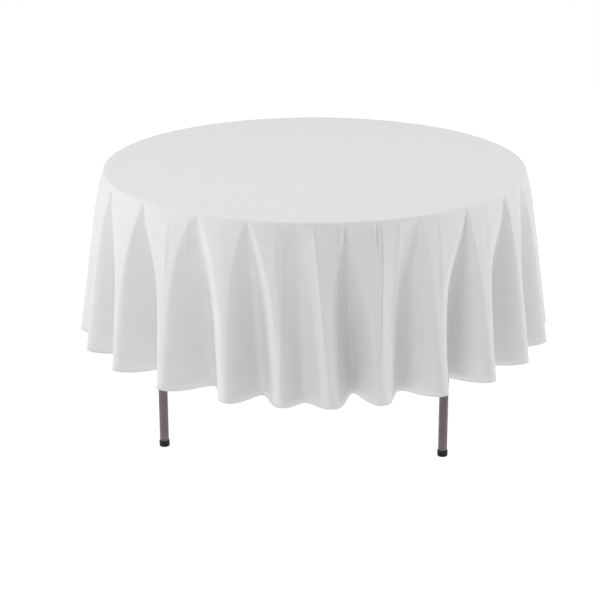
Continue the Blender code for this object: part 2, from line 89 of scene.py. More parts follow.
# Small creases over the folds: azimuth at the rim and at the hem in degrees, height and
# half width in millimetres, and the shares of the drop where each starts and ends.
CREASES = (
    (-79.2, -79.5, 2.5, 4.5, 0.00, 1.02),
    (-71.2, -66.0, 2.2, 2.8, 0.00, 0.17),
    (-69.7, -70.4, -2.4, 2.6, 0.00, 0.18),
    (-68.4, -70.4, 2.6, 2.6, 0.00, 1.02),
    (-63.8, -67.5, 2.2, 5.5, 0.00, 1.02),
    (-52.9, -54.6, 1.8, 4.0, 0.00, 0.60),
    (-85.1, -81.3, 1.6, 4.5, 0.00, 1.02),
    (-92.3, -92.5, 1.4, 4.5, 0.12, 1.02),
    (-94.8, -73.0, 1.1, 3.5, 0.00, 0.16),
    (-89.6, -110.0, 1.1, 3.5, 0.00, 0.16),
    (-123.4, -122.0, 1.4, 4.0, 0.00, 0.45),
    (-117.5, -119.0, 1.0, 4.0, 0.00, 0.30),
    (-36.7, -39.5, 1.6, 4.0, 0.00, 0.40),
    (-22.0, -24.0, 1.6, 4.0, 0.00, 0.40),
)
CREASE_HOLDS = 0.55  # share of a crease's run where it begins to fade
LEAST_SPREAD = 4.0  # millimetres, the narrowest crest that the mesh can carry

# The grid of the cloth: columns of each fold, rings over the rim and rows down to the hem.
# The rows lie closer together under the rim, and evenly when their crowding is 0.
PANEL_COLUMNS = 6
DART_COLUMNS = 28
BEND_RINGS = 6
SKIRT_ROWS = 36
ROW_CROWDING = 0.30
RIM_TURN = 74  # degrees that the cloth bends over the rim before it hangs free

# How the folds open. A dart's width is a share of its fold, a slope is metres out per metre
# down, and a pair of numbers is where a change begins and where it's complete.
DART_WIDTHS = (0.015, 0.96)
LEAST_SLOPE = 0.02
CROWN_SLOPE = 0.06
CROWN_ROOM = 0.03
SOFT_SECTION = 0.97
SOFTENS = (0.10, 0.75)  # shares of the drop
GIVE_FADES = (0.04, 0.22)  # metres below the rim
RIPPLE_HEIGHT = 0.0007
RIPPLES_GROW = (0.06, 0.25)  # metres below the rim
SOLVER_STEPS = 36

# The soft lights: name, width, place and the height on the axis that they look at.
LIGHTS = (
    ("overhead", 3.5, (0.0, 0.3, 3.6), 0.5),
    ("left", 1.8, (-4.4, -0.4, 2.2), 0.45),
    ("right", 1.8, (4.4, 0.6, 2.4), 0.45),
    ("front", 1.4, (-1.6, -3.4, 4.6), 0.45),
)

# The tubes, their joints and their welds, in metres.
TUBE_WALL = 0.0014
TUBE_SEGMENTS = 48
COPE_GAP = 0.0003
WELD_LIFT = 0.0004


# ------------------------------------------------------------------ settings
def length_setting(name, description, default, **more):
    """A length in metres."""
    return FloatProperty(
        name=name, description=description, default=default, unit="LENGTH", **more
    )


def colour_setting(name, description, *default):
    """A colour with its alpha."""
    return FloatVectorProperty(
        name=name, description=description, subtype="COLOR", size=4, min=0, max=1,
        default=default,
    )


def power_setting(name, description, default):
    """A light's power or strength."""
    return FloatProperty(name=name, description=description, default=default, min=0)


class ClothSizes(bpy.types.PropertyGroup):
    """Sizes and colour of the cloth."""

    flat_diameter: length_setting(
        "Flat diameter", "Diameter that the round cloth is cut to", 2.20
    )
    thickness: length_setting("Thickness", "Thickness of the cloth", 0.0006)
    rest: length_setting(
        "Rest", "Gap between the table and the outer face of the cloth", 0.0016
    )
    rim_round: length_setting("Rim bend", "Radius of the bend over the rim", 0.0065)
    ridge_flare: length_setting(
        "Ridge flare", "How far the ridges stand out at the hem", 0.071
    )
    rim_bulge: length_setting(
        "Rim bulge", "How far the ridges spring out close under the rim", 0.012
    )
    dart_opening: FloatProperty(
        name="Dart opening", description="Half width that a dart gains per metre of drop, "
        "close under the rim", default=0.435, min=0.1, max=1.0,
    )
    bias_give: FloatProperty(
        name="Bias give", description="Share of the extra arc that the weave takes up by "
        "shearing, close under the rim", default=0.25, min=0, max=0.5,
    )
    crown: length_setting("Crown", "Height of the soft crease along each ridge", 0.0045)
    thread_pitch: length_setting(
        "Thread pitch", "Distance between threads of the weave", 0.0008, precision=5
    )
    colour: colour_setting("Cloth colour", "Colour of the cloth", 0.76, 0.76, 0.765, 1.0)


class TableFinish(bpy.types.PropertyGroup):
    """Colours of the table under the cloth."""

    paint_colour: colour_setting(
        "Paint", "Powder coat of the tubes and rails", 0.135, 0.103, 0.104, 1.0
    )
    top_colour: colour_setting(
        "Moulded top", "Plastic of the table top", 0.74, 0.73, 0.70, 1.0
    )
    cap_colour: colour_setting(
        "Caps", "Plastic of the foot caps and plugs", 0.008, 0.008, 0.009, 1.0
    )
    steel_colour: colour_setting(
        "Plated steel", "Plating of links, pins and screws", 0.60, 0.60, 0.58, 1.0
    )


class StageSettings(bpy.types.PropertyGroup):
    """Floor, light and camera."""

    camera_turn: FloatProperty(
        name="Camera turn", description="Angle of the camera round the table",
        default=math.radians(5.1), subtype="ANGLE",
    )
    camera_pitch: FloatProperty(
        name="Camera pitch", description="Angle that the camera looks down",
        default=math.radians(18.76), subtype="ANGLE",
    )
    camera_reach: length_setting(
        "Camera reach", "Level distance from the table's middle", 4.925
    )
    camera_rise: length_setting(
        "Camera rise", "Height of the camera above the table top", 1.257
    )
    lens: FloatProperty(
        name="Lens", description="Focal length in millimetres", default=104.76,
    )
    camera_shift: FloatProperty(
        name="Shift", description="Sideways shift of the lens", default=-0.02417,
    )
    sky: power_setting("Sky", "Strength of the even light from all round", 0.31)
    overhead: power_setting("Overhead", "Power of the soft light above", 43.5)
    left: power_setting("Left", "Power of the soft light on the left", 68.0)
    right: power_setting("Right", "Power of the soft light on the right", 73.0)
    front: power_setting("Front", "Power of the high soft light at the front", 64.0)


# ------------------------------------------------------------------ shader helpers
def shader_group(name, inputs, outputs):
    """A new shader node group with named sockets. Returns its tree, input and output."""
    tree = bpy.data.node_groups.new(name, "ShaderNodeTree")
    for label, kind, default in inputs:
        socket = tree.interface.new_socket(name=label, in_out="INPUT", socket_type=kind)
        if default is not None:
            socket.default_value = default
    for label, kind in outputs:
        tree.interface.new_socket(name=label, in_out="OUTPUT", socket_type=kind)
    return tree, tree.nodes.new("NodeGroupInput"), tree.nodes.new("NodeGroupOutput")


def feed(tree, socket, value):
    """Links a socket to the given input, or sets its value when a plain value is given."""
    if isinstance(value, bpy.types.NodeSocket):
        tree.links.new(value, socket)
    else:
        socket.default_value = value


def maths(tree, operation, *values, clamp=False):
    """The result of one Math node."""
    node = tree.nodes.new("ShaderNodeMath")
    node.operation = operation
    node.use_clamp = clamp
    for socket, value in zip(node.inputs, values):
        feed(tree, socket, value)
    return node.outputs[0]


def parts_of(tree, vector):
    """The x, y and z of a vector."""
    node = tree.nodes.new("ShaderNodeSeparateXYZ")
    tree.links.new(vector, node.inputs[0])
    return node.outputs


def set_inputs(tree, node, **values):
    """Feeds each input that a keyword names, with an underscore for each space."""
    for label, value in values.items():
        feed(tree, node.inputs[label.replace("_", " ")], value)


def noise(tree, vector, scale, detail=2.0, roughness=0.5):
    """The height of a Noise node on the given coordinates."""
    node = tree.nodes.new("ShaderNodeTexNoise")
    set_inputs(tree, node, Vector=vector, Scale=scale, Detail=detail, Roughness=roughness)
    return node.outputs["Fac"]


def span(tree, value, low, high, out_low=0.0, out_high=1.0):
    """The value carried from one range to another, held at the ends."""
    node = tree.nodes.new("ShaderNodeMapRange")
    set_inputs(tree, node, Value=value, From_Min=low, From_Max=high)
    set_inputs(tree, node, To_Min=out_low, To_Max=out_high)
    return node.outputs["Result"]


def tinted(tree, factor, colour_a, colour_b):
    """A colour between two, by the factor."""
    node = tree.nodes.new("ShaderNodeMix")
    node.data_type = "RGBA"
    feed(tree, node.inputs["Factor"], factor)
    feed(tree, node.inputs[6], colour_a)
    feed(tree, node.inputs[7], colour_b)
    return node.outputs[2]


def weave_group():
    """Plain weave: crossed threads, each a rounded bar that passes over and under in turn."""
    tree, start, end = shader_group(
        "Plain weave",
        [("Vector", "NodeSocketVector", None), ("Pitch", "NodeSocketFloat", 0.0008),
         ("Colour", "NodeSocketColor", (0.8, 0.8, 0.8, 1)),
         ("Shade", "NodeSocketColor", (0.7, 0.7, 0.7, 1))],
        [("Height", "NodeSocketFloat"), ("Colour", "NodeSocketColor"),
         ("Mottle", "NodeSocketFloat")],
    )
    vector = start.outputs["Vector"]
    x, y, _ = parts_of(tree, vector)
    turn = maths(tree, "DIVIDE", math.pi, start.outputs["Pitch"])
    across = maths(tree, "MULTIPLY", x, turn)
    along = maths(tree, "MULTIPLY", y, turn)
    warp = maths(tree, "ABSOLUTE", maths(tree, "SINE", across))
    weft = maths(tree, "ABSOLUTE", maths(tree, "SINE", along))
    over = maths(tree, "MULTIPLY", maths(tree, "COSINE", across), maths(tree, "COSINE", along))
    threads = maths(tree, "MAXIMUM", warp, weft)
    woven = maths(tree, "MULTIPLY_ADD", over, 0.35, threads)
    slub = noise(tree, vector, 260.0, 3.0)
    height = maths(tree, "MULTIPLY_ADD", slub, 0.5, woven)
    broad = noise(tree, vector, 22.0, 4.0, 0.6)
    fine = noise(tree, vector, 120.0, 3.0, 0.6)
    mottle = maths(tree, "MULTIPLY_ADD", fine, 0.4, maths(tree, "MULTIPLY", broad, 0.6))
    mask = span(tree, mottle, 0.35, 0.65)
    colour = tinted(tree, mask, start.outputs["Shade"], start.outputs["Colour"])
    set_inputs(tree, end, Height=height, Colour=colour, Mottle=mask)
    return tree


def crease_group():
    """Small creases: each a crest that thins out to both sides of its own hanging line."""
    tree, start, end = shader_group(
        "Creases",
        [("Vector", "NodeSocketVector", None), ("Drop", "NodeSocketFloat", 0.49)],
        [("Height", "NodeSocketFloat")],
    )
    x, y, z = parts_of(tree, start.outputs["Vector"])
    azimuth = maths(tree, "ARCTAN2", y, x)
    below = maths(tree, "SUBTRACT", TABLE_HEIGHT, z)
    share = maths(tree, "DIVIDE", below, start.outputs["Drop"])
    total = 0.0
    for rim_at, hem_at, height, half, begin, stop in CREASES:
        line = maths(
            tree, "MULTIPLY_ADD", share, math.radians(hem_at - rim_at), math.radians(rim_at)
        )
        off = maths(tree, "MULTIPLY", maths(tree, "SUBTRACT", azimuth, line), TABLE_RADIUS)
        away = maths(tree, "DIVIDE", maths(tree, "ABSOLUTE", off), -half / 1000.0)
        crest = maths(tree, "MULTIPLY", maths(tree, "EXPONENT", away), height)
        come = span(tree, share, begin, begin + 0.04)
        go = span(tree, share, begin + (stop - begin) * CREASE_HOLDS, stop, 1.0, 0.0)
        crest = maths(tree, "MULTIPLY", maths(tree, "MULTIPLY", come, go), crest)
        total = maths(tree, "ADD", total, crest)
    set_inputs(tree, end, Height=total)
    return tree


def grain_group():
    """Fine grain of paint and moulded plastic: small bumps on a slow unevenness."""
    tree, start, end = shader_group(
        "Fine grain",
        [("Vector", "NodeSocketVector", None), ("Scale", "NodeSocketFloat", 900.0),
         ("Pebble", "NodeSocketFloat", 0.5)],
        [("Height", "NodeSocketFloat"), ("Mottle", "NodeSocketFloat")],
    )
    vector, scale = start.outputs["Vector"], start.outputs["Scale"]
    cells = tree.nodes.new("ShaderNodeTexVoronoi")
    cells.feature = "SMOOTH_F1"
    set_inputs(tree, cells, Vector=vector, Scale=scale)
    small = noise(tree, vector, scale, 3.0, 0.55)
    pebble = maths(tree, "MULTIPLY", cells.outputs["Distance"], start.outputs["Pebble"])
    height = maths(tree, "ADD", small, pebble)
    slow = noise(tree, vector, 14.0, 4.0, 0.6)
    set_inputs(tree, end, Height=height, Mottle=span(tree, slow, 0.3, 0.7))
    return tree


def wear_group():
    """Scuffs and dust: long thin scratches in patches, and dust that thins with height."""
    tree, start, end = shader_group(
        "Scuffs and dust",
        [("Vector", "NodeSocketVector", None), ("Amount", "NodeSocketFloat", 0.3),
         ("Dust height", "NodeSocketFloat", 0.08)],
        [("Scuffs", "NodeSocketFloat"), ("Dust", "NodeSocketFloat")],
    )
    vector = start.outputs["Vector"]
    stretch = tree.nodes.new("ShaderNodeMapping")
    set_inputs(tree, stretch, Vector=vector, Scale=(1.0, 1.0, 0.12))
    lines = noise(tree, stretch.outputs[0], 420.0, 2.0, 0.7)
    patches = noise(tree, vector, 9.0, 3.0, 0.6)
    marks = maths(tree, "MULTIPLY", span(tree, lines, 0.60, 0.72), span(tree, patches, 0.5, 0.7))
    scuffs = maths(tree, "MULTIPLY", marks, start.outputs["Amount"], clamp=True)
    height = parts_of(tree, vector)[2]
    near = span(tree, height, 0.0, start.outputs["Dust height"], 1.0, 0.0)
    specks = span(tree, noise(tree, vector, 160.0, 4.0, 0.7), 0.4, 0.75)
    dust = maths(tree, "MULTIPLY", maths(tree, "MULTIPLY", near, specks), 0.45)
    set_inputs(tree, end, Scuffs=scuffs, Dust=dust)
    return tree


def effect(name, build):
    """The shader node group of that name, built at its first use."""
    return bpy.data.node_groups.get(name) or build()


def place_group(tree, group, vector, **values):
    """A copy of a group in a material, with its own values."""
    node = tree.nodes.new("ShaderNodeGroup")
    node.node_tree = group
    set_inputs(tree, node, Vector=vector, **values)
    return node


def new_material(name, coordinates):
    """An empty Principled material. Returns it, its tree, its shader and the coordinates."""
    material = bpy.data.materials.new(name)
    material.use_nodes = True
    tree = material.node_tree
    shader = tree.nodes["Principled BSDF"]
    source = tree.nodes.new("ShaderNodeTexCoord")
    return material, tree, shader, source.outputs[coordinates]


def bump(tree, shader, height, strength, distance, under=None):
    """A Bump node that feeds the shader's normal, over another normal if one is given."""
    node = tree.nodes.new("ShaderNodeBump")
    set_inputs(tree, node, Strength=strength, Distance=distance, Height=height)
    if under:
        tree.links.new(under, node.inputs["Normal"])
    tree.links.new(node.outputs[0], shader.inputs["Normal"])
    return node.outputs[0]


def darker(colour, share):
    """The same colour at a share of its brightness."""
    return (colour[0] * share, colour[1] * share, colour[2] * share, 1.0)


def cloth_material(sizes):
    """White cloth: a fine plain weave, faintly mottled, matte with a soft sheen."""
    material, tree, shader, flat = new_material("white_cloth", "UV")
    weave = place_group(
        tree, effect("Plain weave", weave_group), flat, Pitch=sizes.thread_pitch,
        Colour=tuple(sizes.colour), Shade=darker(sizes.colour, 0.965),
    )
    rough = span(tree, weave.outputs["Mottle"], 0.0, 1.0, 0.66, 0.74)
    set_inputs(tree, shader, Base_Color=weave.outputs["Colour"], Roughness=rough)
    set_inputs(tree, shader, Specular_IOR_Level=0.35, Sheen_Weight=0.08, Sheen_Roughness=0.5)
    place = tree.nodes.new("ShaderNodeTexCoord").outputs["Object"]
    folds = place_group(
        tree, effect("Creases", crease_group), place,
        Drop=sizes.flat_diameter / 2 - TABLE_RADIUS,
    )
    creased = bump(tree, shader, folds.outputs["Height"], 1.0, 0.001)
    bump(tree, shader, weave.outputs["Height"], 0.25, 0.00012, creased)
    return material


def worn_material(name, colour, grain, wear, dark, tints, gloss, relief, dusty=0.0):
    """A material of one colour, with a grain, a slow change of gloss, scuffs and dust.

    The colour goes from its darker share to itself by the grain's slow unevenness, then to
    the first tint along scuffs and to the second where dust lies. Roughness runs between
    the two ends of gloss by the same unevenness, and dust adds to it.
    """
    material, tree, shader, place = new_material(name, "Object")
    fine = place_group(
        tree, effect("Fine grain", grain_group), place, Scale=grain[0], Pebble=grain[1]
    )
    marks = place_group(
        tree, effect("Scuffs and dust", wear_group), place, Amount=wear[0],
        Dust_height=wear[1],
    )
    shade = tinted(tree, fine.outputs["Mottle"], darker(colour, dark), colour)
    for mark, tint in zip(("Scuffs", "Dust"), tints):
        shade = tinted(tree, marks.outputs[mark], shade, tint)
    rough = span(tree, fine.outputs["Mottle"], 0.0, 1.0, *gloss)
    if dusty:
        rough = maths(tree, "MULTIPLY_ADD", marks.outputs["Dust"], dusty, rough, clamp=True)
    set_inputs(tree, shader, Base_Color=shade, Roughness=rough)
    bump(tree, shader, fine.outputs["Height"], *relief)
    return material, shader


def painted_material(finish):
    """Powder-coated steel: slight orange peel, thin scuffs and dust near the floor."""
    return worn_material(
        "powder_coat", tuple(finish.paint_colour), grain=(700.0, 0.3), wear=(0.5, 0.07),
        dark=0.90, tints=((0.42, 0.40, 0.39, 1.0), (0.38, 0.36, 0.33, 1.0)),
        gloss=(0.36, 0.46), relief=(0.3, 0.00015), dusty=0.4,
    )[0]


def moulded_material(name, colour, roughness, scale, depth):
    """Moulded plastic: an even pebbled grain and a slow change of gloss."""
    scuffed = tuple(0.55 * part + 0.03 for part in colour[:3]) + (1.0,)
    dusted = tuple(0.50 * part + 0.04 for part in colour[:3]) + (1.0,)
    material, shader = worn_material(
        name, colour, grain=(scale, 0.9), wear=(0.25, 0.03), dark=0.95,
        tints=(scuffed, dusted), gloss=(roughness - 0.05, roughness + 0.05),
        relief=(0.4, depth),
    )
    shader.inputs["Specular IOR Level"].default_value = 0.2
    return material


def plated_material(finish):
    """Zinc-plated steel: fine brushed grain with cloudy patches."""
    material, shader = worn_material(
        "plated_steel", tuple(finish.steel_colour), grain=(1500.0, 0.1), wear=(0.6, 0.01),
        dark=0.82, tints=((0.75, 0.75, 0.73, 1.0),), gloss=(0.30, 0.44),
        relief=(0.15, 0.00008),
    )
    shader.inputs["Metallic"].default_value = 0.9
    return material


def finish_named(name):
    """The material of that name, built at its first use."""
    finish = bpy.context.scene.table_finish
    known = bpy.data.materials.get(name)
    if known:
        return known
    if name == "white_cloth":
        return cloth_material(bpy.context.scene.cloth_sizes)
    if name == "powder_coat":
        return painted_material(finish)
    if name == "moulded_top_plastic":
        return moulded_material(name, tuple(finish.top_colour), 0.48, 650.0, 0.00018)
    if name == "black_cap_plastic":
        return moulded_material(name, tuple(finish.cap_colour), 0.42, 900.0, 0.00010)
    if name == "plated_steel":
        return plated_material(finish)
    raise ValueError(f"no finish named {name}")


# ------------------------------------------------------------------ mesh helpers
def grid_faces(rows, columns):
    """Quads of a grid of rows by columns, closed across its columns."""
    row, column = np.meshgrid(np.arange(rows - 1), np.arange(columns), indexing="ij")
    after = (column + 1) % columns
    corners = [row * columns + column, (row + 1) * columns + column]
    corners += [(row + 1) * columns + after, row * columns + after]
    return np.stack([c.ravel() for c in corners], axis=1)


def placed(name, data):
    """A new object of this data, linked to the scene."""
    thing = bpy.data.objects.new(name, data)
    bpy.context.scene.collection.objects.link(thing)
    return thing


def new_piece(name, points, faces, finish, body, nodes, flat_uv=None):
    """A mesh object of these points and faces that rides on a body for its CAD nodes."""
    mesh = bpy.data.meshes.new(name)
    mesh.from_pydata(points.reshape(-1, 3).tolist(), [], [list(f) for f in faces])
    mesh.validate()
    mesh.shade_smooth()
    if flat_uv is not None:
        layer = mesh.uv_layers.new(name="flat")
        corner = np.zeros(len(mesh.loops), np.int32)
        mesh.loops.foreach_get("vertex_index", corner)
        layer.data.foreach_set("uv", flat_uv[corner].astype(np.float32).ravel())
    mesh.materials.append(finish_named(finish))
    piece = placed(name, mesh)
    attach(piece, body)
    if nodes:
        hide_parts(*nodes)
    return piece


def round_turn(count):
    """Evenly spaced azimuths of a full turn."""
    return np.arange(count) * 2 * math.pi / count


def lathe(profile, segments):
    """A profile of radius and height turned about Z, from pole to pole.

    Every ring repeats the profile's radius at evenly spaced azimuths. The first and last
    profile points lie on the axis, and each becomes one pole vertex.
    """
    profile = np.array(profile, float)
    azimuth = round_turn(segments)
    radius, height = profile[1:-1, 0, None], profile[1:-1, 1, None]
    rings = np.stack(
        [radius * np.cos(azimuth), radius * np.sin(azimuth), height + 0 * azimuth], axis=-1
    )
    poles = np.array([[0, 0, profile[0, 1]], [0, 0, profile[-1, 1]]])
    count = len(profile) - 2
    here = np.arange(segments)
    after = (here + 1) % segments
    last = (count - 1) * segments
    faces = grid_faces(count, segments).tolist()
    first_pole, last_pole = count * segments, count * segments + 1
    faces += np.stack([np.full(segments, first_pole), here, after], 1).tolist()
    faces += np.stack([np.full(segments, last_pole), last + after, last + here], 1).tolist()
    return np.concatenate([rings.reshape(-1, 3), poles]), faces


def arc_points(centre, radius, start, end, steps):
    """Points of a circular arc, as radius and height, with the ends in degrees."""
    turn = np.radians(np.linspace(start, end, steps + 1))
    return [(centre[0] + radius * math.cos(t), centre[1] + radius * math.sin(t)) for t in turn]


def tube_wall(length_at, radius, wall=TUBE_WALL, segments=TUBE_SEGMENTS):
    """A pipe along +Z whose two ends may be coped.

    length_at gives the low and high end at each azimuth. The outer and inner walls are
    circles carried from one end to the other, and flat rings join them at both ends.
    """
    azimuth = round_turn(segments)
    low, high = length_at(azimuth, radius)
    low_in, high_in = length_at(azimuth, radius - wall)
    chamfer = min(0.25 * wall, 0.0004)
    loops = [
        (radius - chamfer, low), (radius, low + chamfer), (radius, high - chamfer),
        (radius - chamfer, high), (radius - wall, high_in), (radius - wall, low_in),
    ]
    rings = [
        np.stack([r * np.cos(azimuth), r * np.sin(azimuth), z], axis=-1) for r, z in loops
    ]
    rings.append(rings[0])
    count = len(loops)
    faces = grid_faces(count + 1, segments) % (count * segments)
    return np.concatenate(rings[:count]), faces[:, ::-1]


def bead(path, radius, sides=8):
    """A weld bead: a small circle carried round a closed path, rippled along its way."""
    path = np.array(path, float)
    ahead = np.roll(path, -1, 0) - np.roll(path, 1, 0)
    ahead /= np.linalg.norm(ahead, axis=1)[:, None]
    centre = path.mean(0)
    side = path - centre
    side -= (side * ahead).sum(1)[:, None] * ahead
    side /= np.linalg.norm(side, axis=1)[:, None]
    up = np.cross(ahead, side)
    turn = round_turn(sides)
    ripple = 1 + 0.10 * np.cos(np.arange(len(path)) * 2 * math.pi / 3)
    reach = radius * ripple[:, None, None]
    ring = path[:, None] + reach * (
        np.cos(turn)[None, :, None] * side[:, None] + np.sin(turn)[None, :, None] * up[:, None]
    )
    faces = grid_faces(len(path) + 1, sides) % (len(path) * sides)
    return ring.reshape(-1, 3), faces


# ------------------------------------------------------------------ the cloth
def closed_folds(values):
    """Azimuths of a list in radians, with the first one repeated a full turn later."""
    return np.radians(np.append(values, values[0] + 360.0))


def smooth_step(low, high, value):
    """0 below low, 1 above high, and an even S between them."""
    share = np.clip((value - low) / (high - low), 0, 1)
    return share * share * (3 - 2 * share)


def fold_lines(share):
    """Azimuths of the left ridge, valley and right ridge of every fold, row by row.

    Each line runs from its place on the rim to its place at the hem, as a power of the
    row's share leads it.
    """
    apex = np.radians(np.array(RIM_APEXES, float))
    rim_ridge = closed_folds(RIM_RIDGES)
    hem_ridge = closed_folds(HEM_RIDGES)
    hem_valley = np.radians(np.array(HEM_VALLEYS, float))
    lead = (share ** 0.85)[:, None]
    ridge = rim_ridge * (1 - lead) + hem_ridge * lead
    valley = apex * (1 - lead) + hem_valley * lead
    spans = np.diff(rim_ridge)
    return ridge[:, :-1], valley, ridge[:, 1:], rim_ridge, spans


def dip(across, softness):
    """The dart's section: 1 in its valley and 0 at both edges.

    Near the rim it is a V with a rounded bottom and sharp shoulders. Lower down it
    turns into a cosine wave, as softness goes from 0 to 1.
    """
    blunt = 0.22
    v = (np.sqrt(across ** 2 + blunt ** 2) - blunt) / (math.sqrt(1 + blunt ** 2) - blunt)
    wave = (1 + np.cos(math.pi * across)) / 2
    return (1 - v) * (1 - softness) + wave * softness


def fold_sections(width, depth, lines, ridge_radius, crown, softness):
    """Azimuth and radius of every column of every fold, for the given dart widths.

    From the left ridge, a panel falls by the crown to the dart's edge, the dart dips in
    by its depth, and another panel rises to the right ridge.
    """
    left, valley, right = (a[:, :, None] for a in lines)
    w = width[:, :, None]
    panel = np.arange(PANEL_COLUMNS) / PANEL_COLUMNS
    across = np.linspace(-1, 1, DART_COLUMNS + 1)
    edge_left = valley - w * (valley - left)
    edge_right = valley + w * (right - valley)
    azimuth = np.concatenate(
        [
            left + (edge_left - left) * panel,
            valley + across * np.where(across < 0, valley - edge_left, edge_right - valley),
            edge_right + (right - edge_right) * (panel + 1 / PANEL_COLUMNS),
        ],
        axis=2,
    )
    wall = dip(across, softness[:, None, None])
    flat = np.zeros(wall.shape[:2] + (PANEL_COLUMNS,))
    wall = np.concatenate([flat, wall, flat], axis=2)
    slope = np.concatenate([panel, np.ones(DART_COLUMNS + 1), 1 - panel - 1 / PANEL_COLUMNS])
    start, end = ridge_radius[:, :-1, None], ridge_radius[:, 1:, None]
    turn = (azimuth - left) / (right - left)
    blend = turn * turn * (3 - 2 * turn)
    radius = start + (end - start) * blend - depth[:, :, None] * wall
    radius = radius - crown[:, None, None] * (1 - w) * slope
    return azimuth, radius


def section_length(azimuth, radius):
    """Length of each fold's section in plan."""
    x, y = radius * np.cos(azimuth), radius * np.sin(azimuth)
    return np.hypot(np.diff(x, axis=2), np.diff(y, axis=2)).sum(2)


def hung_folds(slant, radius0, sizes):
    """The skirt's rows: azimuth and radius of each column, as an unstretched cloth hangs.

    At a slanted distance below the rim, a round cloth has the arc that it had flat, which
    is longer than the ring it hangs on. Every fold keeps its own arc, less the share that
    the weave's shearing takes up close under the rim. Ridges spring out below the rim by
    the rim bulge, then flare evenly to the hem, and each panel falls from its ridge by the
    crown. Beside the table's rim the valley can't pass the rim, so the dart's width is
    found for the depth between ridge line and valley line. Below, the dart widens until it
    fills the fold, and its depth is found for that width. Both are found by halving.
    """
    hem = slant[-1]
    narrowest, widest = DART_WIDTHS
    share = slant / hem
    left, valley, right, rim_ridge, spans = fold_lines(share)
    lift = np.append(RIDGE_LIFT, RIDGE_LIFT[0]) / 1000.0
    beside_each = (np.append(spans, spans[0]) + np.append(spans[-1], spans)) / 2
    rise = np.sqrt(sizes.dart_opening * (1 - sizes.bias_give) * beside_each)
    slope = np.maximum(rise + CROWN_ROOM - sizes.ridge_flare / hem, LEAST_SLOPE)
    spring = slope * slant[:, None]
    bulge = spring / (1 + (spring / sizes.rim_bulge) ** 3) ** (1 / 3)
    flare = sizes.ridge_flare * share[:, None] + bulge
    ridge_radius = radius0 + flare + lift * (share[:, None] ** 1.2)
    under_rim = TABLE_HEIGHT - RIM_BASE
    crown = np.minimum(sizes.crown, CROWN_SLOPE * slant)
    deep = (ridge_radius[:, :-1] + ridge_radius[:, 1:]) / 2 - radius0
    softness = SOFT_SECTION * smooth_step(*SOFTENS, share)
    eased = slant * (1 - sizes.bias_give * (1 - smooth_step(*GIVE_FADES, slant)))
    need = (radius0 + eased)[:, None] * spans[None, :]
    lines = (left, valley, right)

    def length(width, depth):
        """Plan length of every fold at these dart widths and depths."""
        return section_length(
            *fold_sections(width, depth, lines, ridge_radius, crown, softness)
        )

    low, high = np.full(deep.shape, narrowest), np.full(deep.shape, widest)
    for _ in range(SOLVER_STEPS):
        middle = (low + high) / 2
        long = length(middle, deep - crown[:, None] * (1 - middle)) > need
        low, high = np.where(long, middle, low), np.where(long, high, middle)
    beside = (low + high) / 2
    start = np.searchsorted(slant, under_rim)
    run = np.clip((slant - slant[start]) / (hem - slant[start]), 0, 1)[:, None]
    grown = beside[start] + (widest - beside[start]) * (1 - (1 - run) ** 3.0)
    width = np.where(run > 0, grown, beside)
    low, high = np.zeros(deep.shape), deep * 2.0 + 0.02
    for _ in range(SOLVER_STEPS):
        middle = (low + high) / 2
        long = length(width, middle) > need
        low, high = np.where(long, low, middle), np.where(long, middle, high)
    depth = (low + high) / 2
    azimuth, radius = fold_sections(width, depth, lines, ridge_radius, crown, softness)
    return azimuth, radius, rim_ridge, spans


def flat_azimuth(azimuth, radius, rim_ridge, spans):
    """Azimuth of every column on the flat cloth, by its share of its fold's arc."""
    x, y = radius * np.cos(azimuth), radius * np.sin(azimuth)
    steps = np.hypot(np.diff(x, axis=2), np.diff(y, axis=2))
    run = np.concatenate([np.zeros(steps.shape[:2] + (1,)), np.cumsum(steps, axis=2)], axis=2)
    return rim_ridge[None, :-1, None] + spans[None, :, None] * run / run[:, :, -1:]


def ripples(azimuth, slant):
    """A slow unevenness of the hanging cloth: a few crossed sine waves with fixed phases."""
    rng = np.random.default_rng(7)
    total = np.zeros(np.broadcast(azimuth, slant).shape)
    for turns, rise in ((9, 8.0), (14, -11.0), (23, 6.0), (31, -17.0), (47, 13.0)):
        phase = rng.uniform(0, 2 * math.pi)
        total += np.sin(turns * azimuth + rise * slant + phase) / turns ** 0.5
    return total


def creases(azimuth, share):
    """Height of the small creases: each a crest that thins out to both sides of its line."""
    total = np.zeros(azimuth.shape)
    for rim_at, hem_at, height, half, begin, stop in CREASES:
        line = np.radians(rim_at + (hem_at - rim_at) * share)
        off = np.remainder(azimuth - line + math.pi, 2 * math.pi) - math.pi
        away = off * TABLE_RADIUS * 1000.0 / math.hypot(half, LEAST_SPREAD)
        fade = smooth_step(begin, begin + 0.06, share)
        fade = fade * (1 - smooth_step(begin + (stop - begin) * CREASE_HOLDS, stop, share))
        total += height / 1000.0 * np.exp(-away ** 2) * fade
    return total


